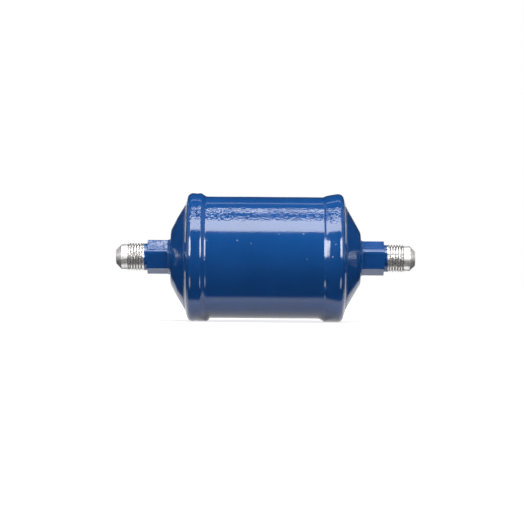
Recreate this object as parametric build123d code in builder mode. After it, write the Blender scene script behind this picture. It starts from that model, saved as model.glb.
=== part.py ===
from build123d import *
import os
from math import atan2, cos, degrees, pi, radians, sin, tan

# Liquid line filter drier: a steel shell swaged over two domed end caps, a flare fitting brazed to
# each cap, and a spring loaded bed of drying beads inside. Refrigerant flows towards +X, and +Z is up.
# The origin is on the axis, midway between the tips of the two fittings. Lengths are millimetres.

# Shell, a steel tube swaged out at both ends to take the caps, with its rims rolled in
shell_length = 92.0  # rim to rim
shell_radius = 35.3
shell_wall = 1.5
swage_height = 1.9  # of each bell above the tube
inlet_foot_length = 11.4  # from the rim to the foot of the inlet's steep ramp
inlet_bell_length = 8.7  # from the rim to the top of the ramp
inlet_bend_radius = 2.5
outlet_foot_length = 12.8  # the outlet's ramp is longer
outlet_bell_length = 7.0
outlet_bend_radius = 4.0

# Each rim is rolled in to a lip that leans towards the cap
rim_corner_length = 1.7  # from the lip's end to the corner that the round replaces
rim_round = 3.3
rim_face_width = 0.7  # the flat end of the lip

# End caps, pressed from sheet
cap_wall = 1.5
cap_fit = 0.05  # brazing gap round the skirt and under the lip
cap_skirt_length = 3.8
shoulder_chamfer = 1.2  # clears the inside of the rim's round
crown_step = 5.2  # from the tube's radius in to the crown's
crown_rise = 0.6  # from the lip's end to the corner where the dome starts
cap_rise = 9.0  # from the lip's end to the flat that carries the fitting
cap_flat_radius = 15.3
cap_flat_round = 4.0

# Braze in the seam between each rim and its cap, and round the foot of each fitting
seam_gap = 0.8
seam_lap = 0.5  # over the end of the lip
seam_rise = 0.8  # along the dome, from the end of the lip
fitting_braze_width = 1.3
fitting_braze_height = 0.9

# Flare fittings for 3/8 in tube, turned from hexagon bar
hex_sides = 6
hex_across_flats = 17.46
hex_length = 13.45
hex_chamfer = 0.35  # off the corners, at the end
inlet_hex_turn = 11.0  # degrees that a flat is turned from facing -Y
outlet_hex_turn = 7.0
neck_radius = 7.75
neck_length = 2.5
thread_radius = 7.938  # crests of the 5/8-18 UNF thread
thread_length = 8.85
thread_chamfer = 0.6
nose_radius = 7.2
nose_length = 3.65
tip_radius = 4.1  # where the 45 degree flare seat ends
bore_radius = 3.57
spigot_radius = 6.5
spigot_reach = 1.5  # beyond the inside of the cap
spigot_fit = 0.05

# Spring and the perforated plate that it pushes on the bed
wire_radius = 1.1
spring_height = 18.5  # as fitted, compressed
spring_turns = 3.25
spring_spigot_clearance = 0.5  # the small end of the spring is centred on the spigot
spring_flange_clearance = 5.0  # round its large end, inside the plate's flange
plate_wall = 1.0
pressure_plate_flange = 5.0
packing_clearance = 0.2  # between the tube and what is packed in it

# Holes in both plates: one in the middle and rings of 6, 12 and so on
hole_radius = 4.0
hole_pitch = 14.0
hole_rings = 1

# Filter layers
inlet_pad_thickness = 4.0
outlet_pad_thickness = 6.0
screen_thickness = 0.5

# Radii that follow from the others
crown_radius = shell_radius - crown_step
rim_hole_radius = crown_radius + seam_gap
lip_radius = rim_hole_radius + rim_face_width
bell_radius = shell_radius + swage_height
bell_inside_radius = bell_radius - shell_wall
shell_inside_radius = shell_radius - shell_wall
skirt_radius = bell_inside_radius - cap_fit
packed_radius = shell_inside_radius - packing_clearance
spring_small_radius = spigot_radius + spring_spigot_clearance + wire_radius
spring_large_radius = packed_radius - plate_wall - spring_flange_clearance - wire_radius

# Places along the axis, as distances from the origin to one side
rim_x = shell_length / 2
lip_lean = atan2(rim_corner_length, bell_radius - lip_radius)


def behind_lip(depth, radius):
    # Where a cone at this depth inside the outer face of the lip has this radius
    return rim_x - depth / cos(lip_lean) + (lip_radius - radius) * tan(lip_lean)


cap_flat_x = rim_x + cap_rise
cap_inside_x = cap_flat_x - cap_wall
shoulder_depth = shell_wall + cap_fit
skirt_end_x = behind_lip(shoulder_depth, skirt_radius) - cap_skirt_length
hex_end_x = cap_flat_x + hex_length
neck_end_x = hex_end_x + neck_length
thread_end_x = neck_end_x + thread_length
nose_end_x = thread_end_x + nose_length
tip_x = nose_end_x + nose_radius - tip_radius

os.makedirs("parts", exist_ok=True)


# ---- shell ----

inlet_foot_x = rim_x - inlet_foot_length
inlet_bell_x = rim_x - inlet_bell_length
outlet_foot_x = rim_x - outlet_foot_length
outlet_bell_x = rim_x - outlet_bell_length

inlet_ramp_angle = atan2(swage_height, inlet_foot_length - inlet_bell_length)
outlet_ramp_angle = atan2(swage_height, outlet_foot_length - outlet_bell_length)

# The inside of each ramp lies this much nearer to its rim
inlet_shift = shell_wall * tan(inlet_ramp_angle / 2)
outlet_shift = shell_wall * tan(outlet_ramp_angle / 2)

# A flat inside each rim's round touches its arc halfway, so that the wall is full there
rim_turn = pi / 2 - lip_lean
rim_flat = (rim_round - shell_wall) * (tan(rim_turn / 2) - tan(rim_turn / 4))
rim_corner_inside_x = behind_lip(shell_wall, bell_inside_radius)


def rim_inside(side):
    # The inside of one rim, from the hole in it to the bell
    lip_end_x = behind_lip(shell_wall, rim_hole_radius)
    flat_end_x = rim_corner_inside_x + rim_flat * sin(lip_lean)
    return [
        (side * lip_end_x, rim_hole_radius),
        (side * flat_end_x, bell_inside_radius - rim_flat * cos(lip_lean)),
        (side * (rim_corner_inside_x - rim_flat), bell_inside_radius),
    ]


with BuildPart() as shell:
    with BuildSketch(Plane.XZ):
        with BuildLine():
            outside = FilletPolyline(
                (-rim_x, rim_hole_radius),
                (-rim_x, lip_radius),
                (rim_corner_length - rim_x, bell_radius),
                (-inlet_bell_x, bell_radius),
                (-inlet_foot_x, shell_radius),
                (outlet_foot_x, shell_radius),
                (outlet_bell_x, bell_radius),
                (rim_x - rim_corner_length, bell_radius),
                (rim_x, lip_radius),
                (rim_x, rim_hole_radius),
                radius=[
                    0,
                    rim_round,
                    inlet_bend_radius,
                    inlet_bend_radius,
                    outlet_bend_radius,
                    outlet_bend_radius,
                    rim_round,
                    0,
                ],
            )
            Polyline(
                outside @ 1,
                *rim_inside(1),
                (outlet_bell_x + outlet_shift, bell_inside_radius),
                (outlet_foot_x + outlet_shift, shell_inside_radius),
                (-inlet_foot_x - inlet_shift, shell_inside_radius),
                (-inlet_bell_x - inlet_shift, bell_inside_radius),
                *reversed(rim_inside(-1)),
                outside @ 0,
            )
        make_face()
    revolve(axis=Axis.X)

shell.part.label = "shell"
export_step(shell.part, "parts/shell.step")


# ---- end caps ----

# The cap at the outlet end: skirt, shoulder under the lip, crown through it, dome and flat
shoulder_x = behind_lip(shoulder_depth, skirt_radius)
crown_foot_x = behind_lip(shoulder_depth, crown_radius)
crown_x = rim_x + crown_rise
dome_angle = atan2(crown_radius - cap_flat_radius, cap_flat_x - crown_x)
crown_shift = cap_wall * tan(dome_angle / 2)
flat_shift = cap_wall * tan((pi / 2 - dome_angle) / 2)
cap_depth = shoulder_depth + cap_wall

with BuildPart() as outlet_end_cap:
    with BuildSketch(Plane.XZ):
        with BuildLine():
            outside = FilletPolyline(
                (skirt_end_x, skirt_radius),
                (shoulder_x - shoulder_chamfer, skirt_radius),
                (
                    shoulder_x + shoulder_chamfer * sin(lip_lean),
                    skirt_radius - shoulder_chamfer * cos(lip_lean),
                ),
                (crown_foot_x, crown_radius),
                (crown_x, crown_radius),
                (cap_flat_x, cap_flat_radius),
                (cap_flat_x, spigot_radius + spigot_fit),
                radius=[0, 0, 0, 0, cap_flat_round],
            )
            Polyline(
                outside @ 1,
                (cap_inside_x, spigot_radius + spigot_fit),
                (cap_inside_x, cap_flat_radius - flat_shift),
                (crown_x - crown_shift, crown_radius - cap_wall),
                (behind_lip(cap_depth, crown_radius - cap_wall), crown_radius - cap_wall),
                (behind_lip(cap_depth, skirt_radius - cap_wall), skirt_radius - cap_wall),
                (skirt_end_x, skirt_radius - cap_wall),
                outside @ 0,
            )
        make_face()
    revolve(axis=Axis.X)

outlet_end_cap.part.label = "outlet_end_cap"
export_step(outlet_end_cap.part, "parts/outlet_end_cap.step")

with BuildPart() as inlet_end_cap:
    mirror(outlet_end_cap.part, about=Plane.YZ)

inlet_end_cap.part.label = "inlet_end_cap"
export_step(inlet_end_cap.part, "parts/inlet_end_cap.step")


# ---- braze in the seam between rim and cap ----

# Drawn down into the cap's wall, which then cuts it to shape
with BuildPart() as outlet_seam_braze:
    with BuildSketch(Plane.XZ):
        with BuildLine():
            Polyline(
                (crown_foot_x, crown_radius - cap_wall / 2),
                (crown_foot_x, crown_radius),
                (behind_lip(shell_wall, rim_hole_radius), rim_hole_radius),
                (rim_x, rim_hole_radius),
                (rim_x, rim_hole_radius + seam_lap),
                (rim_x + seam_rise, crown_radius - cap_wall / 2),
                close=True,
            )
        make_face()
    revolve(axis=Axis.X)
    add(outlet_end_cap.part, mode=Mode.SUBTRACT)

outlet_seam_braze.part.label = "outlet_seam_braze"
export_step(outlet_seam_braze.part, "parts/outlet_seam_braze.step")

with BuildPart() as inlet_seam_braze:
    mirror(outlet_seam_braze.part, about=Plane.YZ)

inlet_seam_braze.part.label = "inlet_seam_braze"
export_step(inlet_seam_braze.part, "parts/inlet_seam_braze.step")


# ---- flare fittings ----


def hexagon(turn):
    # Bar section with a flat facing -Y when turn is 0
    return RegularPolygon(
        radius=hex_across_flats / 2,
        side_count=hex_sides,
        major_radius=False,
        rotation=180 / hex_sides + turn,
    )


def flare_fitting(hex_turn):
    # The fitting at the outlet end
    corner_radius = hex_across_flats / 3**0.5
    with BuildPart() as fitting:
        with BuildSketch(Plane.YZ.offset(cap_flat_x)):
            hexagon(hex_turn)
        extrude(amount=hex_length)
        with BuildSketch(Plane.XZ):
            with BuildLine():
                Polyline(
                    (cap_flat_x, 0),
                    (cap_flat_x, corner_radius),
                    (hex_end_x - hex_chamfer * tan(radians(30)), corner_radius),
                    (hex_end_x, corner_radius - hex_chamfer),
                    (hex_end_x, 0),
                    close=True,
                )
            make_face()
        revolve(axis=Axis.X, mode=Mode.INTERSECT)
        with BuildSketch(Plane.XZ):
            with BuildLine():
                Polyline(
                    (cap_inside_x - spigot_reach, 0),
                    (cap_inside_x - spigot_reach, spigot_radius),
                    (cap_flat_x, spigot_radius),
                    (cap_flat_x, neck_radius),
                    (neck_end_x, neck_radius),
                    (neck_end_x, thread_radius),
                    (thread_end_x - thread_chamfer, thread_radius),
                    (thread_end_x, thread_radius - thread_chamfer),
                    (thread_end_x, nose_radius),
                    (nose_end_x, nose_radius),
                    (tip_x, tip_radius),
                    (tip_x, 0),
                    close=True,
                )
            make_face()
        revolve(axis=Axis.X)
        with Locations(Plane.YZ.offset(tip_x)):
            Hole(radius=bore_radius)
    return fitting


outlet_flare_fitting = flare_fitting(outlet_hex_turn)
outlet_flare_fitting.part.label = "outlet_flare_fitting"
export_step(outlet_flare_fitting.part, "parts/outlet_flare_fitting.step")

with BuildPart() as inlet_flare_fitting:
    mirror(flare_fitting(inlet_hex_turn).part, about=Plane.YZ)

inlet_flare_fitting.part.label = "inlet_flare_fitting"
export_step(inlet_flare_fitting.part, "parts/inlet_flare_fitting.step")


# ---- braze round the foot of each fitting ----


def fitting_braze(hex_turn):
    corner_radius = hex_across_flats / 3**0.5
    with BuildPart() as ring:
        with BuildSketch(Plane.XZ):
            with BuildLine():
                Polyline(
                    (cap_flat_x, 0),
                    (cap_flat_x, corner_radius + fitting_braze_width),
                    (cap_flat_x + fitting_braze_height, corner_radius),
                    (cap_flat_x + fitting_braze_height, 0),
                    close=True,
                )
            make_face()
        revolve(axis=Axis.X)
        with BuildSketch(Plane.YZ.offset(cap_flat_x)):
            hexagon(hex_turn)
        extrude(amount=fitting_braze_height, mode=Mode.SUBTRACT)
    return ring


outlet_fitting_braze = fitting_braze(outlet_hex_turn)
outlet_fitting_braze.part.label = "outlet_fitting_braze"
export_step(outlet_fitting_braze.part, "parts/outlet_fitting_braze.step")

with BuildPart() as inlet_fitting_braze:
    mirror(fitting_braze(inlet_hex_turn).part, about=Plane.YZ)

inlet_fitting_braze.part.label = "inlet_fitting_braze"
export_step(inlet_fitting_braze.part, "parts/inlet_fitting_braze.step")


# ---- perforated plates ----


def perforations():
    # Cuts the pattern of holes from the sketch that is being drawn
    Circle(hole_radius, mode=Mode.SUBTRACT)
    for ring in range(1, hole_rings + 1):
        with PolarLocations(ring * hole_pitch, 6 * ring):
            Circle(hole_radius, mode=Mode.SUBTRACT)


# The outlet plate is a shallow cup. Its edge seats halfway up the inside of the ramp, and the
# cap's skirt holds it there.
outlet_plate_radius = (shell_inside_radius + bell_inside_radius) / 2
outlet_plate_x = (outlet_foot_x + outlet_bell_x) / 2 + outlet_shift

with BuildPart() as outlet_perforated_plate:
    with BuildSketch(Plane.YZ.offset(outlet_plate_x)):
        Circle(outlet_plate_radius)
        perforations()
    extrude(amount=plate_wall)
    with BuildSketch(Plane.YZ.offset(outlet_plate_x)):
        Circle(outlet_plate_radius)
        Circle(outlet_plate_radius - plate_wall, mode=Mode.SUBTRACT)
    extrude(amount=skirt_end_x - outlet_plate_x)

outlet_perforated_plate.part.label = "outlet_perforated_plate"
export_step(outlet_perforated_plate.part, "parts/outlet_perforated_plate.step")

# The pressure plate slides in the tube, with its flange towards the spring
plate_front_x = -cap_inside_x + spring_height

with BuildPart() as pressure_plate:
    with BuildSketch(Plane.YZ.offset(plate_front_x)):
        Circle(packed_radius)
        perforations()
    extrude(amount=plate_wall)
    with BuildSketch(Plane.YZ.offset(plate_front_x + plate_wall)):
        Circle(packed_radius)
        Circle(packed_radius - plate_wall, mode=Mode.SUBTRACT)
    extrude(amount=-pressure_plate_flange)

pressure_plate.part.label = "pressure_plate"
export_step(pressure_plate.part, "parts/pressure_plate.step")


# ---- spring ----

# The middle of the wire runs from a wire's radius off the cap to a wire's radius off the plate.
# A conical helix counts its pitch along the cone's slant.
coil_height = spring_height - 2 * wire_radius
coil_angle = atan2(spring_large_radius - spring_small_radius, coil_height)

with BuildPart() as compression_spring:
    with BuildLine() as coil:
        Helix(
            pitch=coil_height / spring_turns / cos(coil_angle),
            height=coil_height,
            radius=spring_small_radius,
            center=(-cap_inside_x + wire_radius, 0, 0),
            direction=(1, 0, 0),
            cone_angle=degrees(coil_angle),
        )
    with BuildSketch(Plane(origin=coil.line @ 0, z_dir=coil.line % 0)):
        RegularPolygon(radius=wire_radius, side_count=6)
    sweep()

compression_spring.part.label = "compression_spring"
export_step(compression_spring.part, "parts/compression_spring.step")


# ---- what is packed between the plates ----


def packed_disc(start_x, thickness):
    with BuildPart() as disc:
        with BuildSketch(Plane.YZ.offset(start_x)):
            Circle(packed_radius)
        extrude(amount=thickness)
    return disc


inlet_pad_x = plate_front_x + plate_wall
bed_x = inlet_pad_x + inlet_pad_thickness
screen_x = outlet_plate_x - screen_thickness
outlet_pad_x = screen_x - outlet_pad_thickness

inlet_filter_pad = packed_disc(inlet_pad_x, inlet_pad_thickness)
inlet_filter_pad.part.label = "inlet_filter_pad"
export_step(inlet_filter_pad.part, "parts/inlet_filter_pad.step")

desiccant_bed = packed_disc(bed_x, outlet_pad_x - bed_x)
desiccant_bed.part.label = "desiccant_bed"
export_step(desiccant_bed.part, "parts/desiccant_bed.step")

outlet_filter_pad = packed_disc(outlet_pad_x, outlet_pad_thickness)
outlet_filter_pad.part.label = "outlet_filter_pad"
export_step(outlet_filter_pad.part, "parts/outlet_filter_pad.step")

outlet_screen = packed_disc(screen_x, screen_thickness)
outlet_screen.part.label = "outlet_screen"
export_step(outlet_screen.part, "parts/outlet_screen.step")
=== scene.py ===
import math

import bmesh
import bpy
from mathutils import Matrix, Vector, noise


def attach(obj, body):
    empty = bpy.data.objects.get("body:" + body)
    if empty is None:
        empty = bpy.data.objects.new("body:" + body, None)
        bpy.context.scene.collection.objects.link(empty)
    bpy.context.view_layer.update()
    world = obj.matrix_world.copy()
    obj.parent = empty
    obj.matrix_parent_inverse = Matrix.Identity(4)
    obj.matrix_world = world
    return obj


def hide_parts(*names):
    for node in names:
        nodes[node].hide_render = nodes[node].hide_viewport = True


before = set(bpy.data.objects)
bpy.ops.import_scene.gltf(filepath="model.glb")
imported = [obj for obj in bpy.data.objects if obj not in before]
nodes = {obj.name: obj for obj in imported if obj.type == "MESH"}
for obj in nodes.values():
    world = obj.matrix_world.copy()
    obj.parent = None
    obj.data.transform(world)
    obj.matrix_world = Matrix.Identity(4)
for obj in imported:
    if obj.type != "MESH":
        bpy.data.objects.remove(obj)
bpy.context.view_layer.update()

mm = 0.001
fullTurn = 2 * math.pi
scene = bpy.context.scene

# A filter drier: a swaged steel shell, two domed caps and two flare fittings under blue paint.
# +X is the way the refrigerant flows, so the inlet is at -X. A function that makes a piece for
# either end takes side -1 for the inlet and 1 for the outlet. Lengths in the dictionaries are
# millimetres, and a corner of a section is (x, radius, rounding).


class Signal:
    # A socket in a node tree. An expression on signals adds its Math nodes.
    def __init__(self, tree, socket):
        self.tree = tree
        self.socket = socket

    def maths(self, operation, first, second=0.0):
        return self.tree.node("Math", {"operation": operation}, {0: first, 1: second})

    def __add__(self, other):
        return self.maths("ADD", self, other)

    def __radd__(self, other):
        return self.maths("ADD", other, self)

    def __sub__(self, other):
        return self.maths("SUBTRACT", self, other)

    def __rsub__(self, other):
        return self.maths("SUBTRACT", other, self)

    def __mul__(self, other):
        return self.maths("MULTIPLY", self, other)

    def __rmul__(self, other):
        return self.maths("MULTIPLY", other, self)

    def __abs__(self):
        return self.maths("ABSOLUTE", self)

    def sine(self):
        return self.maths("SINE", self)

    def least(self, other):
        return self.maths("MINIMUM", self, other)

    def most(self, other):
        return self.maths("MAXIMUM", self, other)

    def between(self, low, high):
        # 0 at low, 1 at high, smooth and clamped
        settings = {"interpolation_type": "SMOOTHSTEP"}
        return self.tree.node("MapRange", settings, {"Value": self, "From Min": low, "From Max": high})

    def betweenMm(self, low, high):
        return self.between(low * mm, high * mm)

    def spread(self):
        # Noise lies between about 0.3 and 0.7, and this takes it from 0 to 1
        return self.between(0.3, 0.7)


class NodeTree:
    def __init__(self, tree):
        self.tree = tree
        tree.nodes.clear()

    def node(self, kind, settings, inputs, output=0):
        made = self.tree.nodes.new("ShaderNode" + kind)
        for name, value in settings.items():
            setattr(made, name, value)
        for name, value in inputs.items():
            if isinstance(value, Signal):
                self.tree.links.new(value.socket, made.inputs[name])
            else:
                made.inputs[name].default_value = value
        return Signal(self, made.outputs[output]) if len(made.outputs) else None

    def objectPlace(self):
        return self.node("TexCoord", {}, {}, "Object")

    def axes(self, vector):
        return [self.node("SeparateXYZ", {}, {0: vector}, axis) for axis in range(3)]

    def stretched(self, vector, scale):
        return self.node("Mapping", {}, {"Vector": vector, "Scale": scale})

    def distance(self, first, second):
        return self.node("VectorMath", {"operation": "DISTANCE"}, {0: first, 1: second}, "Value")

    def noise(self, vector, size, detail=2.0, roughness=0.5):
        # size is the width of a patch in mm
        inputs = {"Vector": vector, "Scale": 1 / (size * mm), "Detail": detail, "Roughness": roughness}
        return self.node("TexNoise", {}, inputs, "Fac")

    def cells(self, vector, size, output, randomness=1.0):
        # size is the width of a cell in mm
        inputs = {"Vector": vector, "Scale": 1 / (size * mm), "Randomness": randomness}
        return self.node("TexVoronoi", {}, inputs, output)

    def mixed(self, factor, first, second):
        # Colour sockets of the Mix node are its seventh and eighth, and its colour output is the third
        return self.node("Mix", {"data_type": "RGBA"}, {0: factor, 6: first, 7: second}, 2)

    def bumped(self, height, depth):
        # depth in mm is how far a height of 1 stands out
        return self.node("Bump", {}, {"Strength": 1.0, "Distance": depth * mm, "Height": height})

    def surface(self, inputs):
        shader = self.node("BsdfPrincipled", {}, inputs)
        self.node("OutputMaterial", {}, {"Surface": shader})


def newFinish(name):
    material = bpy.data.materials.new(name)
    material.use_nodes = True
    return material, NodeTree(material.node_tree)


def makeObject(name, mesh, finish):
    data = bpy.data.meshes.new(name)
    mesh.to_mesh(data)
    mesh.free()
    data.materials.append(finish)
    made = bpy.data.objects.new(name, data)
    scene.collection.objects.link(made)
    return made


def makePiece(name, replaced, mesh, finish, crease):
    # Edges that turn by more than crease degrees stay sharp
    bmesh.ops.recalc_face_normals(mesh, faces=mesh.faces[:])
    piece = makeObject(name, mesh, finish)
    piece.data.polygons.foreach_set("use_smooth", [True] * len(piece.data.polygons))
    piece.data.set_sharp_from_angle(angle=math.radians(crease))
    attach(piece, "root")
    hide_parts(replaced)


def section(corners, side, longest, arcStep):
    # A closed line through the corners. A rounding becomes an arc with a point every arcStep
    # degrees, and no side is longer than longest.
    corners = [(side * x, radius, rounding) for x, radius, rounding in corners]
    path = []
    count = len(corners)
    for index, (x, radius, rounding) in enumerate(corners):
        here = Vector((x, radius))
        before = Vector(corners[index - 1][:2]) - here
        after = Vector(corners[(index + 1) % count][:2]) - here
        if not rounding:
            path.append(here)
            continue
        inside = before.angle(after)
        reach = rounding / math.tan(inside / 2)
        middle = here + (before.normalized() + after.normalized()).normalized() * (
            rounding / math.sin(inside / 2)
        )
        start = here + before.normalized() * reach - middle
        end = here + after.normalized() * reach - middle
        steps = max(2, math.ceil(math.degrees(math.pi - inside) / arcStep))
        sweep = start.angle_signed(end)
        for step in range(steps + 1):
            spoke = start.copy()
            spoke.rotate(Matrix.Rotation(-sweep * step / steps, 2))
            path.append(middle + spoke)
    filled = []
    for index, point in enumerate(path):
        following = path[(index + 1) % len(path)]
        pieces = max(1, math.ceil((following - point).length / longest))
        filled += [point.lerp(following, step / pieces) for step in range(pieces)]
    return filled


def turned(path, steps):
    # Spins a closed section round the X axis
    mesh = bmesh.new()
    ring = [mesh.verts.new((point.x * mm, 0, point.y * mm)) for point in path]
    edges = [mesh.edges.new(pair) for pair in zip(ring, ring[1:] + ring[:1])]
    bmesh.ops.spin(
        mesh, geom=ring + edges, cent=(0, 0, 0), axis=(1, 0, 0), dvec=(0, 0, 0),
        angle=fullTurn, steps=steps, use_merge=True, use_normal_flip=False, use_duplicate=False,
    )
    bmesh.ops.remove_doubles(mesh, verts=mesh.verts[:], dist=1e-7)
    return mesh


def rotate(mesh, degrees):
    turning = Matrix.Rotation(math.radians(degrees), 3, "X")
    bmesh.ops.rotate(mesh, verts=mesh.verts[:], cent=(0, 0, 0), matrix=turning)


def reshape(mesh, rule):
    # rule takes x, radius and angle in mm and radians, and gives the new x and radius. Angle 0 faces
    # -Y and a quarter turn faces up.
    for vert in mesh.verts:
        angle = math.atan2(vert.co.z, -vert.co.y)
        x, radius = rule(vert.co.x / mm, math.hypot(vert.co.y, vert.co.z) / mm, angle)
        vert.co = Vector((x, -radius * math.cos(angle), radius * math.sin(angle))) * mm


def smooth(low, high, value):
    # low may be above high, for a step that falls
    step = min(1, max(0, (value - low) / (high - low)))
    return step * step * (3 - 2 * step)


def wander(x, radius, angle, size, seed):
    # Slow noise between about -1 and 1 over the surface
    spot = Vector((x, radius * math.cos(angle), radius * math.sin(angle))) / size
    return noise.noise(spot + Vector((seed, seed, seed)))


def lump(offset, reach, turn, turnReach):
    # 1 in the middle, and soft along the axis and round it
    return math.exp(-(offset / reach) ** 2 - (turn / turnReach) ** 2)


# Enamel, sprayed from above the front. Its peel is coarse on the shoulder that the spray struck
# last, coarser still on the bells, and less so on the domes.
paint = {
    "deep": (0.0058, 0.064, 0.242, 1),
    "fresh": (0.0080, 0.081, 0.304, 1),
    "patchSize": 30,
    "cloudSize": 4,
    "roughness": 0.08,
    "cloudRoughness": 0.08,
    "ior": 1.55,
    "peelDepth": 0.14,
    "peelSize": 1.2,
    "finePeel": 0.05,  # the share of the peel that is left where it is fine
    "nibColor": (0.05, 0.14, 0.40, 1),
    "nibSpacing": 8,
    "nibHeight": 0.5,
    "shoulderFoot": (18.0, 21.5),  # heights above the axis between which the coarse peel starts
    "shoulderTop": (28.0, 30.0),
    "shoulderPeel": 1.2,
    "bellStart": (34.5, 37.0),
    "bellEnd": (46.2, 47.5),
    "bellFade": 1.6,
    "brazeLumpSize": 2.6,
    "brazeLumpHeight": 3,
    "brazeRoughness": 0.16,
}

# Specks of dust under the paint of the shell's front, each by its distance along and its height
specks = [
    (-33.4, 9.4), (-8.5, 7.9), (5.7, 33.4), (10.4, 21.8),
    (21.4, 13.4), (24.9, 14.9), (35.9, -16.3), (40.0, 7.7),
]
speck = {
    "color": (0.08, 0.20, 0.50, 1),
    "tint": 0.3,
    "height": 0.6,
    "reach": (0.1, 0.7),  # from its middle, where it is full and where it ends
    "bellFrom": 38,
    "bellRadius": 37.0,
    "tubeRadius": 35.3,
}


def paintParts(tree, place, coarse):
    # The colour, roughness and height of the blue paint. coarse is 1 where its peel is coarse.
    patches = tree.noise(place, paint["patchSize"], 3)
    cloud = tree.noise(place, paint["cloudSize"], 3)
    color = tree.mixed(patches.spread() * 0.6 + cloud * 0.4, paint["deep"], paint["fresh"])
    nibs = 1 - tree.cells(place, paint["nibSpacing"], "Distance").between(0.03, 0.07)
    color = tree.mixed(nibs * 0.35, color, paint["nibColor"])
    roughness = paint["roughness"] + cloud * paint["cloudRoughness"]
    peel = tree.noise(place, paint["peelSize"], 0)
    fine = paint["finePeel"]
    height = peel * (fine + coarse * (1 - fine)) + nibs * paint["nibHeight"]
    return color, roughness, height


def shoulderPeel(tree, place):
    along, across, up = tree.axes(place)
    far = abs(along)
    bells = far.betweenMm(*paint["bellStart"]) - far.betweenMm(*paint["bellEnd"]) * paint["bellFade"]
    shoulder = up.betweenMm(*paint["shoulderFoot"]) * (1 - up.betweenMm(*paint["shoulderTop"]))
    return shoulder * (paint["shoulderPeel"] + bells)


def speckled(tree, place):
    # 1 on a speck
    nearest = 1.0
    for x, z in specks:
        radius = speck["bellRadius"] if abs(x) > speck["bellFrom"] else speck["tubeRadius"]
        spot = (x * mm, -math.sqrt(radius ** 2 - z ** 2) * mm, z * mm)
        nearest = tree.distance(place, spot).least(nearest)
    return 1 - nearest.betweenMm(*speck["reach"])


def makeBlueEnamel():
    finish, tree = newFinish("blueEnamel")
    place = tree.objectPlace()
    color, roughness, height = paintParts(tree, place, shoulderPeel(tree, place))
    dust = speckled(tree, place)
    tree.surface({
        "Base Color": tree.mixed(dust * speck["tint"], color, speck["color"]),
        "Roughness": roughness,
        "Normal": tree.bumped(height + dust * speck["height"], paint["peelDepth"]),
        "IOR": paint["ior"],
    })
    return finish


def makeEnamelOnBraze():
    # Enamel over the lumpy brazing alloy
    finish, tree = newFinish("enamelOnBraze")
    place = tree.objectPlace()
    color, roughness, height = paintParts(tree, place, shoulderPeel(tree, place))
    lumps = tree.noise(place, paint["brazeLumpSize"], 2)
    tree.surface({
        "Base Color": tree.mixed(lumps.spread() * 0.5, color, paint["fresh"]),
        "Roughness": roughness + paint["brazeRoughness"],
        "Normal": tree.bumped(lumps * paint["brazeLumpHeight"] + height, paint["peelDepth"]),
        "IOR": paint["ior"],
    })
    return finish


blueEnamel = makeBlueEnamel()
enamelOnBraze = makeEnamelOnBraze()
print("paint ready")


# The shell, a tube swaged out to a bell at each end and rolled in to a lip at each rim
shell = {
    "rim": 46.0,
    "inletSpread": 0.3,  # how much further out the inlet's rim and cap stand
    "hole": 30.9,
    "lip": 31.6,
    "lipRound": 0.25,
    "corner": 44.3,
    "rimRound": 3.3,
    "insideRound": 1.8,
    "bell": 37.2,
    "tube": 35.3,
    "wall": 1.5,
    "inletBell": 37.3,
    "inletFoot": 34.6,
    "inletBend": 2.5,
    "inletInsideShift": 0.48,  # the inside of the ramp lies this much nearer to the rim
    "outletBell": 41.0,
    "outletBellRound": 8,
    "outletSlope": (36.6, 36.45, 4),  # the corner between the ramp's two slopes
    "outletStep": (34.4, 35.9, 1.5),  # the top of the short step at its foot
    "outletFoot": 33.2,
    "outletFootRound": 0.8,
    "outletInsideShift": (0.24, -2.0),  # from the foot and from the bell
    "steps": 240,
    "longest": 0.9,
    "arcStep": 12,
    "outside": (34.2, 34.9),  # radii between which the wall's inside ends and its outside starts
    "outsideEnd": 43.5,
    "dents": 0.05,
    "dentSize": 17,
    "dentRadius": 35,  # at which the dents' noise is read, all through the wall
    "hollow": 0.22,  # the inlet's bell sinks a little along its middle
    "hollowX": -39.9,
    "hollowReach": 1.3,
}

# Paint that ran to the underside and stood in the foot of each ramp, blunt at the inlet. A turn is
# in radians from straight down.
run = {
    "inletDepth": 1.9,
    "inletNear": (-32.5, -33.2),
    "inletFar": (-39, -37),
    "inletTurn": 0.1,
    "outletDepth": 1.7,
    "outletFull": (34.4, 37.5),
    "outletReach": 2.3,
    "outletTurn": 0.15,
    "turnReach": 0.2,
    "clear": 0.05,  # of the bell's radius
}


def behindLip(depth, radius):
    # Where a cone at this depth inside the outer face of the lip has this radius
    lean = math.atan2(shell["rim"] - shell["corner"], shell["bell"] - shell["lip"])
    return shell["rim"] - depth / math.cos(lean) + (shell["lip"] - radius) * math.tan(lean)


def paintRun(x, angle):
    # How far the runs of paint stand out
    turn = (angle + math.pi / 2 + math.pi) % fullTurn - math.pi
    ramp = smooth(*run["inletNear"], x) * smooth(*run["inletFar"], x)
    inlet = ramp * lump(0, 1, turn - run["inletTurn"], run["turnReach"])
    low, high = run["outletFull"]
    offset = x - max(low, min(high, x))
    outlet = lump(offset, run["outletReach"], turn - run["outletTurn"], run["turnReach"])
    return run["inletDepth"] * inlet + run["outletDepth"] * outlet


def shellRule(x, radius, angle):
    outer = smooth(*shell["outside"], radius) if abs(x) < shell["outsideEnd"] else 0
    dent = wander(x, shell["dentRadius"], angle, shell["dentSize"], 3) - 1
    radius += outer * shell["dents"] * dent
    radius -= outer * shell["hollow"] * lump(x - shell["hollowX"], shell["hollowReach"], 0, 1)
    highest = shell["bell"] - run["clear"]
    return x, max(radius, min(highest, radius + outer * paintRun(x, angle)))


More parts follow.
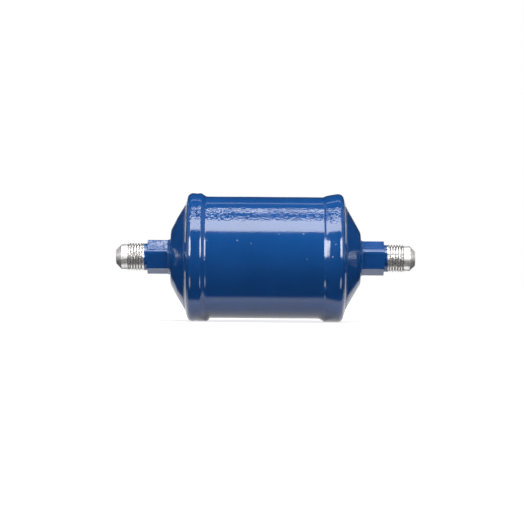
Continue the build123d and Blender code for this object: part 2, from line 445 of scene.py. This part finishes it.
def makeShell():
    rim, hole, wall, bell = shell["rim"], shell["hole"], shell["wall"], shell["bell"]
    inside, tube, corner = bell - wall, shell["tube"], shell["corner"]
    lipRound, rimRound, insideRound = shell["lipRound"], shell["rimRound"], shell["insideRound"]
    inletFoot, inletBell, inletBend = shell["inletFoot"], shell["inletBell"], shell["inletBend"]
    outletFoot, outletBell, shift = shell["outletFoot"], shell["outletBell"], shell["inletInsideShift"]
    footShift, bellShift = shell["outletInsideShift"]
    innerCorner, out = behindLip(wall, inside), shell["inletSpread"]
    corners = [
        (-rim - out, hole, lipRound),
        (-rim - out, shell["lip"], lipRound),
        (-corner - out, bell, rimRound),
        (-inletBell, bell, inletBend),
        (-inletFoot, tube, inletBend),
        (outletFoot, tube, shell["outletFootRound"]),
        shell["outletStep"],
        shell["outletSlope"],
        (outletBell, bell, shell["outletBellRound"]),
        (corner, bell, rimRound),
        (rim, shell["lip"], lipRound),
        (rim, hole, lipRound),
        (behindLip(wall, hole), hole, 0),
        (innerCorner, inside, insideRound),
        (outletBell + bellShift, inside, 0),
        (outletFoot + footShift, tube - wall, 0),
        (-inletFoot - shift, tube - wall, 0),
        (-inletBell - shift, inside, 0),
        (-innerCorner - out, inside, insideRound),
        (-behindLip(wall, hole) - out, hole, 0),
    ]
    mesh = turned(section(corners, 1, shell["longest"], shell["arcStep"]), shell["steps"])
    reshape(mesh, shellRule)
    makePiece("paintedShell", "shell", mesh, blueEnamel, 32)


makeShell()
print("shell made")


# The end caps, pressed from sheet
cap = {
    "wall": 1.5,
    "fit": 0.05,
    "skirtEnd": 39.4,
    "skirtRound": 0.3,
    "skirt": 35.65,
    "shoulderRound": 1.7,
    "crown": 30.1,
    "crownCorner": 46.6,
    "crownRound": 0.8,
    "crownInside": (0.87, 1.0),  # how far in the corner lies on the inside, and its rounding
    "coneRound": 30,
    "coneLean": (0.87, 0.49),  # the way out of the cone, along and across
    "flat": 55.0,
    "flatRadius": 15.3,
    "flatRound": 4.0,
    "flatInside": (0.92, 2.5),
    "hole": 6.55,
    "steps": 220,
    "longest": 1.2,
    "arcStep": 12,
    "domeStart": (47.5, 49.5),
    "dents": 0.06,
    "dentSize": 11,
}


def makeCap(name, replaced, side, bulge, out, widen):
    # out moves the rim end of the cap away from the middle, and widen is added to its flat's radius
    wall, skirt, crown = cap["wall"], cap["skirt"], cap["crown"]
    flat, flatRadius = cap["flat"], cap["flatRadius"] + widen
    lap = shell["inletSpread"] if side < 0 else 0
    corner = cap["crownCorner"] + out
    depth = shell["wall"] + cap["fit"]
    innerDepth = depth + wall
    leanX, leanRadius = cap["coneLean"]
    middleX = (corner + flat) / 2 + bulge * leanX
    middleRadius = (crown + flatRadius) / 2 + bulge * leanRadius
    flatShift, flatInsideRound = cap["flatInside"]
    crownShift, crownInsideRound = cap["crownInside"]
    corners = [
        (cap["skirtEnd"], skirt, cap["skirtRound"]),
        (behindLip(depth, skirt) + lap, skirt, cap["shoulderRound"]),
        (behindLip(depth, crown) + lap, crown, 0),
        (corner, crown, cap["crownRound"]),
        (middleX, middleRadius, cap["coneRound"]),
        (flat, flatRadius, cap["flatRound"]),
        (flat, cap["hole"], 0),
        (flat - wall, cap["hole"], 0),
        (flat - wall, flatRadius - flatShift, flatInsideRound),
        (corner - crownShift, crown - wall, crownInsideRound),
        (behindLip(innerDepth, crown - wall) + lap, crown - wall, 0),
        (behindLip(innerDepth, skirt - wall) + lap, skirt - wall, 0),
        (cap["skirtEnd"], skirt - wall, cap["skirtRound"]),
    ]
    mesh = turned(section(corners, side, cap["longest"], cap["arcStep"]), cap["steps"])

    def rule(x, radius, angle):
        domed = smooth(*cap["domeStart"], abs(x))
        dent = (wander(x, radius, angle, cap["dentSize"], 5) + 1) / 2
        return x - side * domed * cap["dents"] * dent, radius

    reshape(mesh, rule)
    makePiece(name, replaced, mesh, blueEnamel, 32)


makeCap("inletCap", "inlet_end_cap", -1, bulge=0.35, out=0.3, widen=0.3)
makeCap("outletCap", "outlet_end_cap", 1, bulge=0.05, out=-0.35, widen=-0.6)
print("caps made")


# The braze in the seam between each rim and its cap
seam = {
    "foot": 30.1,
    "sunk": 0.05,  # into the cap at its toe
    "lap": 31.95,
    "lapX": 45.93,
    "overlap": 0.15,  # over the end of the lip
    "bend": 30.25,
    "bendX": 46.45,
    "bendRound": 0.5,
    "toe": 29.4,
    "toeX": 47.0,
    "heelX": 46.55,
    "steps": 300,
    "longest": 0.3,
    "arcStep": 20,
    "proudFrom": (-0.1, 0.4),  # past the rim
    "proudTo": (47.0, 46.6),
    "lumps": 0.12,
    "lumpSize": 2.2,
    "lumpRadius": 30,  # at which their noise is read
}


def makeSeam(name, replaced, side, seed, out):
    # out moves the toe on the cap away from the middle
    foot, hole, wall, rim = seam["foot"], shell["hole"], shell["wall"], shell["rim"]
    lap = shell["inletSpread"] if side < 0 else 0
    corners = [
        (behindLip(wall + cap["fit"], foot) + lap, foot, 0),
        (behindLip(wall, hole) + lap, hole, 0),
        (rim - seam["overlap"] + lap, hole, 0),
        (seam["lapX"] + lap, seam["lap"], 0),
        (seam["bendX"] + out, seam["bend"], seam["bendRound"]),
        (seam["toeX"] + out, seam["toe"], 0),
        (seam["heelX"] + out, foot - seam["sunk"], 0),
    ]
    mesh = turned(section(corners, side, seam["longest"], seam["arcStep"]), seam["steps"])
    proudFrom = [rim + shift for shift in seam["proudFrom"]]
    proudTo = [x + out for x in seam["proudTo"]]

    def rule(x, radius, angle):
        proud = smooth(*proudFrom, abs(x)) * smooth(*proudTo, abs(x))
        height = 0.5 + 0.5 * wander(x, seam["lumpRadius"], angle, seam["lumpSize"], seed)
        return x - side * proud * seam["lumps"] * height, radius

    reshape(mesh, rule)
    makePiece(name, replaced, mesh, enamelOnBraze, 60)


makeSeam("inletSeamBead", "inlet_seam_braze", -1, seed=2, out=0.3)
makeSeam("outletSeamBead", "outlet_seam_braze", 1, seed=8, out=-0.3)
print("seams brazed")


# The flare fittings, each turned from hexagon bar
fitting = {
    "spigotEnd": 52.0,
    "spigot": 6.5,
    "foot": 55.0,
    "hexEnd": 68.45,
    "hexChamfer": 0.35,
    "hexCrispness": (70, 20),  # of its corners, and of the one that took the most knocks and paint
    "knockReach": 0.4,  # in radians
    "flats": 17.46,
    "neck": 7.75,
    "neckRound": 0.35,
    "neckEnd": 70.95,
    "thread": 7.938,
    "threadDepth": 0.95,
    "threadEnd": 79.80,
    "threadChamfer": 0.75,
    "pitch": 1.588,
    "rootWidth": 0.08,  # of half a pitch
    "flankWidth": 0.64,
    "runIn": (-0.1, 0.9),  # from the neck, where the thread starts and reaches its depth
    "nose": 7.2,
    "noseFoot": 0.15,
    "noseEnd": 83.45,
    "noseRound": 0.3,
    "tip": 86.55,
    "tipRadius": 4.1,
    "tipRound": 0.2,
    "bore": 3.57,
    "steps": 180,
    "longest": 0.1,
    "coarser": 5,  # how many times as long its plain stretches' sides are
    "arcStep": 20,
    "inletTurn": 11,  # degrees from a flat that faces the front
    "outletTurn": 7,
}

# Enamel from the cap to just past the hexagon, and bare plated steel beyond its ragged edge
plating = {
    "bright": (0.86, 0.85, 0.84, 1),
    "dull": (0.62, 0.60, 0.59, 1),
    "stainSize": 1.3,
    "stainDepth": 1.2,
    "sunk": 1.7,  # below the paint, as a share of its peel
    "metallic": 0.75,
    "roughness": 0.20,
    "stainRoughness": 0.08,
    "noseRoughness": 0.14,
    # painted shade in the thread's roots, the colour they are painted from half way down the flanks
    "paintedRootShade": (0.38, 0.36, 0.35, 1),  # in the thread, from half way down its flanks
    "paintedRootShadeRadii": (7.20, 7.75),
    "inletEdge": 70.3,  # where the masking ended, from the middle
    "outletEdge": 70.4,
    "outletLean": 0.04,  # the outlet's edge leans back towards the top
    "fray": 0.7,
    "fraySize": 1.6,
    "peelFrom": (3, 6),  # heights between which the enamel's coarse peel starts
    "inletPeel": 1.1,
    "outletPeel": 0.15,
}


def makePlateAndEnamel():
    finish, tree = newFinish("plateAndEnamel")
    place = tree.objectPlace()
    along, across, up = tree.axes(place)
    far = abs(along)
    outlet = along.between(-0.01, 0.01)
    coarse = plating["inletPeel"] - outlet * (plating["inletPeel"] - plating["outletPeel"])
    color, roughness, height = paintParts(tree, place, up.betweenMm(*plating["peelFrom"]) * coarse)
    fray = (tree.noise(place, plating["fraySize"], 2) - 0.5) * plating["fray"] * mm
    maskEdge = plating["inletEdge"] * mm + outlet * (plating["outletEdge"] - plating["inletEdge"]) * mm
    bare = (far + fray + outlet * plating["outletLean"] * up - maskEdge).between(-0.0001, 0.0001)
    stain = tree.noise(place, plating["stainSize"], 3)
    plate = tree.mixed(stain.between(0.35, 0.7) * 0.8, plating["bright"], plating["dull"])
    nose = far.betweenMm(fitting["threadEnd"] - 0.3, fitting["threadEnd"] + 0.4)
    threaded = far.betweenMm(fitting["neckEnd"] - 0.15, fitting["neckEnd"] + 0.45) * (1 - nose)
    radius = tree.distance(tree.node("CombineXYZ", {}, {"Y": across, "Z": up}), (0, 0, 0))
    # Painted shade: the thread's roots are painted darker from half way down its flanks
    paintedRootShade = (1 - radius.betweenMm(*plating["paintedRootShadeRadii"])) * threaded
    plate = tree.mixed(paintedRootShade * 0.85, plate, plating["paintedRootShade"])
    plateRough = (
        plating["roughness"] + stain * plating["stainRoughness"] + nose * plating["noseRoughness"]
    )
    plateHeight = stain * plating["stainDepth"] - plating["sunk"]
    tree.surface({
        "Base Color": tree.mixed(bare, color, plate),
        "Metallic": bare * plating["metallic"],
        "Roughness": roughness * (1 - bare) + plateRough * bare,
        "Normal": tree.bumped(height * (1 - bare) + plateHeight * bare, paint["peelDepth"]),
        "IOR": paint["ior"],
    })
    return finish


def hexRadius(angle):
    # A hexagon with its corners just rounded, its first flat facing angle 0. The corner above that
    # flat is the worn one.
    flat = fitting["flats"] / 2
    crispest, worn = fitting["hexCrispness"]
    crisp = crispest - (crispest - worn) * lump(0, 1, angle - math.pi / 6, fitting["knockReach"])
    total = 0
    for index in range(6):
        facing = math.cos(angle - index * fullTurn / 6) / flat
        total += max(0, facing) ** crisp
    return total ** (-1 / crisp)


def threadRadius(x, angle, side):
    # Distance along the helix in turns, then a rounded V between root and crest
    start, end, thread = fitting["neckEnd"], fitting["threadEnd"], fitting["thread"]
    turn = (x - start) / fitting["pitch"] - side * angle / fullTurn
    wave = abs(turn % 1 - 0.5) * 2
    ridge = min(1, max(0, (wave - fitting["rootWidth"]) / fitting["flankWidth"]))
    fade = smooth(*[start + shift for shift in fitting["runIn"]], x)
    crest = min(thread, thread - (x - (end - fitting["threadChamfer"])))
    root = thread - fitting["threadDepth"] * fade
    return min(crest, root + (thread - root) * ridge)


def makeFitting(name, replaced, side, turnDegrees):
    foot, hexEnd, neckEnd = fitting["foot"], fitting["hexEnd"], fitting["neckEnd"]
    spigot, spigotEnd, bore = fitting["spigot"], fitting["spigotEnd"], fitting["bore"]
    neck, thread, threadEnd = fitting["neck"], fitting["thread"], fitting["threadEnd"]
    nose, noseEnd, tip = fitting["nose"], fitting["noseEnd"], fitting["tip"]
    corner = fitting["flats"] / 3 ** 0.5
    chamferStart = hexEnd - fitting["hexChamfer"] * math.tan(math.radians(30))
    path = section([
        (foot, spigot, 0),
        (foot, corner, 0),
        (chamferStart, corner, 0),
        (hexEnd, corner - fitting["hexChamfer"], 0),
        (hexEnd, neck, fitting["neckRound"]),
        (neckEnd, neck, 0),
        (neckEnd + 0.01, thread, 0),
        (threadEnd, thread, 0),
        (threadEnd, nose, fitting["noseFoot"]),
        (noseEnd, nose, fitting["noseRound"]),
        (tip, fitting["tipRadius"], fitting["tipRound"]),
        (tip, bore, fitting["tipRound"]),
        (spigotEnd, bore, 0),
        (spigotEnd, spigot, 0),
    ], 1, fitting["longest"], fitting["arcStep"])
    # Short sides are only needed on the chamfer, the thread and the nose
    kept = []
    for index, point in enumerate(path):
        chamfered = chamferStart - 0.2 < point.x < hexEnd
        fine = point.y > 6 and (chamfered or neckEnd <= point.x <= threadEnd)
        if fine or index % fitting["coarser"] == 0 or point.x > threadEnd:
            kept.append(point)
    for point in kept:
        point.x *= side
    mesh = turned(kept, fitting["steps"])

    def rule(x, radius, angle):
        far = abs(x)
        if foot - 0.01 <= far <= hexEnd + 0.01 and radius > neck + 0.4:
            radius = min(radius, hexRadius(angle))
        elif neckEnd < far < threadEnd - 0.01 and radius > nose + 0.3:
            radius = threadRadius(far, angle, side)
        return x, radius

    reshape(mesh, rule)
    rotate(mesh, turnDegrees)
    makePiece(name, replaced, mesh, plateAndEnamel, 26)


plateAndEnamel = makePlateAndEnamel()
makeFitting("inletFlareFitting", "inlet_flare_fitting", -1, fitting["inletTurn"])
makeFitting("outletFlareFitting", "outlet_flare_fitting", 1, fitting["outletTurn"])
print("fittings turned")


# The braze round the foot of each fitting
footBraze = {
    "reach": 1.3,
    "hidden": 0.25,  # under the hexagon's corners
    "dip": (0.7, 0.22, 1.2),  # the hollow's place in from the edge, its height and its rounding
    "edgeRound": 0.1,
    "steps": 180,
    "longest": 0.2,
    "arcStep": 15,
    "rough": 0.35,
    "roughSize": 3,
}


def makeFootBraze(name, replaced, side, turnDegrees, rise, seed):
    foot, corner = fitting["foot"], fitting["flats"] / 3 ** 0.5
    outer, inner = corner + footBraze["reach"], corner - footBraze["hidden"]
    edgeRound, longest, arcStep = footBraze["edgeRound"], footBraze["longest"], footBraze["arcStep"]
    dipIn, dipHeight, dipRound = footBraze["dip"]
    corners = [
        (foot, inner, 0),
        (foot, outer, edgeRound),
        (foot + dipHeight, outer - dipIn, dipRound),
        (foot + rise, corner, edgeRound),
        (foot + rise, inner, 0),
    ]
    mesh = turned(section(corners, side, longest, arcStep), footBraze["steps"])

    def rule(x, radius, angle):
        spread = smooth(corner, outer, radius)
        shrink = (corner - hexRadius(angle)) * (1 - spread)
        uneven = 0.5 + 0.5 * wander(x, radius, angle, footBraze["roughSize"], seed)
        return x, radius - shrink - spread * footBraze["rough"] * uneven

    reshape(mesh, rule)
    rotate(mesh, turnDegrees)
    makePiece(name, replaced, mesh, enamelOnBraze, 60)


makeFootBraze("inletFootBraze", "inlet_fitting_braze", -1, fitting["inletTurn"], rise=1.7, seed=4)
makeFootBraze("outletFootBraze", "outlet_fitting_braze", 1, fitting["outletTurn"], rise=1.25, seed=6)
print("fittings brazed")


# What is inside keeps its CAD shape
springWire = {
    "bright": (0.42, 0.41, 0.40, 1),
    "dark": (0.30, 0.29, 0.28, 1),
    "roughness": 0.28,
    "grainSize": 0.2,
    "grainStretch": (1, 0.1, 0.1),
}
pressedSheet = {
    "bright": (0.60, 0.59, 0.56, 1),
    "dark": (0.50, 0.49, 0.47, 1),
    "roughness": 0.30,
    "grainSize": 0.3,
    "grainStretch": (1, 1, 0.05),
}
felt = {
    "shade": (0.62, 0.60, 0.54, 1),
    "light": (0.78, 0.76, 0.70, 1),
    "stain": (0.55, 0.51, 0.43, 1),
    "fibreSize": 0.35,
    "fibreStretch": (0.3, 1, 1),
    "fibreDepth": 0.25,
}
beads = {
    "size": 1.8,
    "randomness": 0.7,
    "dark": (0.60, 0.50, 0.36, 1),
    "light": (0.74, 0.66, 0.52, 1),
    # painted shade in the gaps between the beads
    "gap": (0.16, 0.12, 0.08, 1),
    "depth": 0.6,
}
wire = {
    "pitch": 0.6,
    "bright": (0.58, 0.57, 0.54, 1),
    # the holes between the wires, painted near black as painted shade
    "hole": (0.05, 0.05, 0.05, 1),
    "depth": 0.15,
}


def makeSteel(name, steel):
    finish, tree = newFinish(name)
    place = tree.objectPlace()
    grain = tree.noise(tree.stretched(place, steel["grainStretch"]), steel["grainSize"], 3)
    cloud = tree.noise(place, 6, 3)
    tree.surface({
        "Base Color": tree.mixed(cloud.spread(), steel["bright"], steel["dark"]),
        "Metallic": 1.0,
        "Roughness": steel["roughness"] + grain * 0.15,
        "Normal": tree.bumped(grain, 0.01),
    })
    return finish


def makeFelt():
    finish, tree = newFinish("pressedFelt")
    place = tree.objectPlace()
    fibres = tree.noise(tree.stretched(place, felt["fibreStretch"]), felt["fibreSize"], 4, 0.7)
    cloud = tree.noise(place, 5, 3)
    color = tree.mixed(fibres.between(0.35, 0.65), felt["shade"], felt["light"])
    tree.surface({
        "Base Color": tree.mixed(cloud.between(0.4, 0.8) * 0.4, color, felt["stain"]),
        "Roughness": 0.85 + cloud * 0.1,
        "Normal": tree.bumped(fibres, felt["fibreDepth"]),
    })
    return finish


def makeBeads():
    finish, tree = newFinish("dryingBeads")
    place = tree.objectPlace()
    distance = tree.cells(place, beads["size"], "Distance", beads["randomness"])
    shade = tree.axes(tree.cells(place, beads["size"], "Color", beads["randomness"]))[0]
    color = tree.mixed(shade, beads["dark"], beads["light"])
    tree.surface({
        # Painted shade: the gaps between the beads are painted dark
        "Base Color": tree.mixed(distance.between(0.35, 0.62), color, beads["gap"]),
        "Roughness": 0.6 + shade * 0.25,
        "Normal": tree.bumped(1 - distance * distance * 2.2, beads["depth"]),
    })
    return finish


def makeWovenWire():
    # Over and under, with the holes between the wires painted near black, a painted shade
    finish, tree = newFinish("wovenWire")
    along, across, up = tree.axes(tree.objectPlace())
    turns = fullTurn / (wire["pitch"] * mm) / 2
    rows, columns = (across * turns).sine(), (up * turns).sine()
    weave = abs(rows).most(abs(columns))
    over = rows * columns
    tree.surface({
        "Base Color": tree.mixed(weave.between(0.75, 0.95), wire["hole"], wire["bright"]),
        "Metallic": weave.between(0.7, 0.9),
        "Roughness": 0.3 + over * 0.1,
        "Normal": tree.bumped(weave + over * 0.3, wire["depth"]),
    })
    return finish


def finishInnards():
    sheet, pads = makeSteel("pressedSheet", pressedSheet), makeFelt()
    innards = {
        "compression_spring": makeSteel("springWire", springWire),
        "pressure_plate": sheet,
        "inlet_filter_pad": pads,
        "desiccant_bed": makeBeads(),
        "outlet_filter_pad": pads,
        "outlet_screen": makeWovenWire(),
        "outlet_perforated_plate": sheet,
    }
    for nodeName, finish in innards.items():
        materials = nodes[nodeName].data.materials
        materials.clear()
        materials.append(finish)


finishInnards()
print("innards finished")


# The floor. To gloss it glows white only under and behind the object, a painted reflection of a lit
# floor, and its colour is painted dark elsewhere.
# That glow is painted dimmer under the body, a painted shadow, and painted brighter under the fittings
# and dimmer far behind them.
floor = {
    "level": -37.3,
    "size": 4000,
    "color": (0.52, 0.52, 0.52, 1),
    "mottle": (0.50, 0.50, 0.51, 1),
    "mottleSize": 60,
    # to gloss its colour is painted this dark outside its glow, a painted dark reflection
    "dark": (0.01, 0.01, 0.012, 1),
    "frontEdge": -29.2,
    "frontFrom": 46.0,  # past this the front edge slants away
    "frontSlant": 0.45,
    "frontBlur": 2.5,
    "halfWidth": 66.0,
    "endWidth": 93.0,  # under the fittings
    "endReach": (12.0, 18.0),
    "spread": 0.7,
    "spreadFrom": 57.0,
    "sideBlur": 3,
    # the glow is painted dimmer under the body as a painted shadow, and painted brighter under the
    # fittings
    "paintedShadow": 0.2,  # how much dimmer it is under the body
    "paintedShadowFrom": (-26.0, -22.0),
    "fittings": (48.0, 56.0),
    "fittingsPaintedLight": 0.35,
    "fittingsPaintedShade": 0.65,  # far behind the fittings
    "fittingsPaintedShadeFrom": (24.0, 38.0),
    "seen": (0.8, 1.0),  # its glow to the camera near the object and far from it
    "seenFrom": (100, 300),
}


def makeFloor():
    finish, tree = newFinish("paleFloor")
    place = tree.objectPlace()
    along, across, up = tree.axes(place)
    far = abs(along)
    camera = tree.node("LightPath", {}, {}, "Is Camera Ray")
    glossy = tree.node("LightPath", {}, {}, "Is Glossy Ray")
    slant = (far - floor["frontFrom"] * mm).most(0.0) * floor["frontSlant"]
    front = across - slant - floor["frontEdge"] * mm
    behind = front.betweenMm(-floor["frontBlur"], floor["frontBlur"])
    near = 1 - across.betweenMm(*floor["endReach"])
    narrow = near * (floor["endWidth"] - floor["halfWidth"]) * mm + floor["halfWidth"] * mm
    edge = (across * floor["spread"] + floor["spreadFrom"] * mm).most(narrow)
    within = 1 - (far - edge).betweenMm(-floor["sideBlur"], floor["sideBlur"])
    paintedGlowArea = behind * within
    color = tree.mixed(tree.noise(place, floor["mottleSize"], 3), floor["color"], floor["mottle"])
    # Painted reflection: gloss sees the floor's colour painted dark outside the glow
    color = tree.mixed(glossy * (1 - paintedGlowArea), color, floor["dark"])
    # Painted shadow under the body and painted light under the fittings, in the glow that gloss sees
    behindEnds = across.betweenMm(*floor["fittingsPaintedShadeFrom"]) * floor["fittingsPaintedShade"]
    ends = far.betweenMm(*floor["fittings"]) * (behindEnds - floor["fittingsPaintedLight"])
    paintedShading = across.betweenMm(*floor["paintedShadowFrom"]) * floor["paintedShadow"] + ends
    nearGlow, farGlow = floor["seen"]
    away = tree.distance(place, (0, 0, 0)).betweenMm(*floor["seenFrom"])
    glow = glossy * paintedGlowArea * (1 - paintedShading) + camera * (nearGlow + away * (farGlow - nearGlow))
    tree.surface({
        "Base Color": color,
        "Roughness": 0.9,
        "Specular IOR Level": 0.0,
        "Emission Color": tree.mixed(glow, (0, 0, 0, 1), (1, 1, 1, 1)),
        "Emission Strength": 1.0,
    })
    mesh = bmesh.new()
    bmesh.ops.create_grid(mesh, x_segments=1, y_segments=1, size=floor["size"] * mm / 2)
    bmesh.ops.translate(mesh, verts=mesh.verts[:], vec=(0, 0, floor["level"] * mm))
    piece = makeObject("floor", mesh, finish)


# The room is white to the camera. Gloss sees a white card behind the object and two at its sides,
# and a dark room elsewhere. Each pair of numbers is where an edge starts and ends in the world's
# own coordinates, which run from -1 to 1.
room = {
    "ambient": (0.08, 0.08, 0.082, 1),
    "dark": (0.022, 0.024, 0.028, 1),
    "cardSlant": 0.64,
    "cardSide": (-0.05, 0.05),
    "cardTop": (0.07, 0.13),
    "sideCards": (0.90, 0.94),
    "highCards": (0.45, 0.55),
    "highCardsFrom": (0.27, 0.33),
    "highCardsGlow": 0.4,
}


def makeRoom():
    world = bpy.data.worlds.new("room")
    world.use_nodes = True
    scene.world = world
    tree = NodeTree(world.node_tree)
    along, across, up = tree.axes(tree.node("TexCoord", {}, {}, "Generated"))
    far = abs(along)
    camera = tree.node("LightPath", {}, {}, "Is Camera Ray")
    glossy = tree.node("LightPath", {}, {}, "Is Glossy Ray")
    card = 1 - (far - across * room["cardSlant"]).between(*room["cardSide"])
    card = card * (1 - up.between(*room["cardTop"]))
    high = far.between(*room["highCards"]) * up.between(*room["highCardsFrom"])
    sides = far.between(*room["sideCards"]).most(high * room["highCardsGlow"])
    ambient = tree.mixed(glossy, room["ambient"], room["dark"])
    color = tree.mixed(camera.most(glossy * card.most(sides)), ambient, (1, 1, 1, 1))
    shader = tree.node("Background", {}, {"Color": color, "Strength": 1.0})
    tree.node("OutputWorld", {}, {"Surface": shader})


# Lamps that face the middle of the object. angle is above the camera's side and turn to the right.
# tall and wide are as seen from the object, all four in degrees. distance is in metres, and
# brightness is against white. All but the soft box are only seen in gloss.
lamps = {
    "keySoftbox": {
        "angle": 62.5, "turn": 0, "distance": 0.75, "tall": 27, "wide": 62, "brightness": 8.5,
        "glossOnly": False,
    },
    "topPanel": {"angle": 98.5, "turn": 0, "distance": 0.75, "tall": 8, "wide": 40, "brightness": 8.5},
    "backStrip": {"angle": 122.5, "turn": 0, "distance": 0.75, "tall": 2, "wide": 40, "brightness": 2.5},
    "leftStrip": {"angle": 16.5, "turn": -38, "distance": 0.9, "tall": 29, "wide": 29, "brightness": 14},
    "rightStrip": {"angle": 16.5, "turn": 38, "distance": 0.9, "tall": 29, "wide": 32, "brightness": 14},
}

# Small cards just above the floor, each of which puts a low glint on a bend: the bend's distance
# along the object, and the card's turn and width
glints = {
    "inletRimGlint": {"x": -43.5, "turn": -38, "wide": 28},
    "inletRampGlint": {"x": -36.0, "turn": 38, "wide": 28},
    "outletRampGlint": {"x": 33.5, "turn": -62, "wide": 8},
    "outletRimGlint": {"x": 43.5, "turn": 38, "wide": 28},
}
glintCard = {"angle": -42, "distance": 0.022, "tall": 32, "brightness": 0.2}
glintTarget = {"y": -32.5, "z": -13.5}
glintSpread = 36


def makeLamp(name, angle, turn, distance, tall, wide, brightness, glossOnly=True, target=(0, 0, 0)):
    height = 2 * distance * math.tan(math.radians(tall / 2))
    width = 2 * distance * math.tan(math.radians(wide / 2))
    data = bpy.data.lights.new(name, "AREA")
    data.shape = "RECTANGLE"
    data.size, data.size_y = width, height
    data.energy = brightness * math.pi * width * height
    lamp = bpy.data.objects.new(name, data)
    rise, swing = math.radians(angle), math.radians(turn)
    away = Vector((
        math.sin(swing) * math.cos(rise),
        -math.cos(swing) * math.cos(rise),
        math.sin(rise),
    ))
    # Local X stays level, so that the lamp's long side runs along the object
    level = Vector((math.cos(swing), math.sin(swing), 0))
    lamp.matrix_world = Matrix((level, away.cross(level), away)).transposed().to_4x4()
    lamp.matrix_world.translation = away * distance + Vector(target)
    lamp.visible_camera = False
    lamp.visible_diffuse = not glossOnly
    scene.collection.objects.link(lamp)
    return lamp


def makeLamps():
    for name, facts in lamps.items():
        makeLamp(name, **facts)
    for name, facts in glints.items():
        target = Vector((facts["x"], glintTarget["y"], glintTarget["z"])) * mm
        lamp = makeLamp(name, turn=facts["turn"], wide=facts["wide"], target=target, **glintCard)
        lamp.data.spread = math.radians(glintSpread)


makeFloor()
makeRoom()
makeLamps()
print("stage lit")


# The camera looks along +Y, and frame is the width that it takes in at the axis
camera = {"x": -2.1, "z": -2.52, "frame": 304.0, "lens": 180, "roll": 0.41}


def makeCamera():
    data = bpy.data.cameras.new("camera")
    data.lens = camera["lens"]
    data.clip_start = 0.05
    viewer = bpy.data.objects.new("camera", data)
    distance = camera["frame"] * mm * camera["lens"] / data.sensor_width
    viewer.location = (camera["x"] * mm, -distance, camera["z"] * mm)
    viewer.rotation_euler = (math.radians(90), 0, 0)
    viewer.rotation_euler.rotate_axis("Z", math.radians(camera["roll"]))
    scene.collection.objects.link(viewer)
    scene.camera = viewer


makeCamera()
scene.view_settings.view_transform = "Standard"
print("camera set")
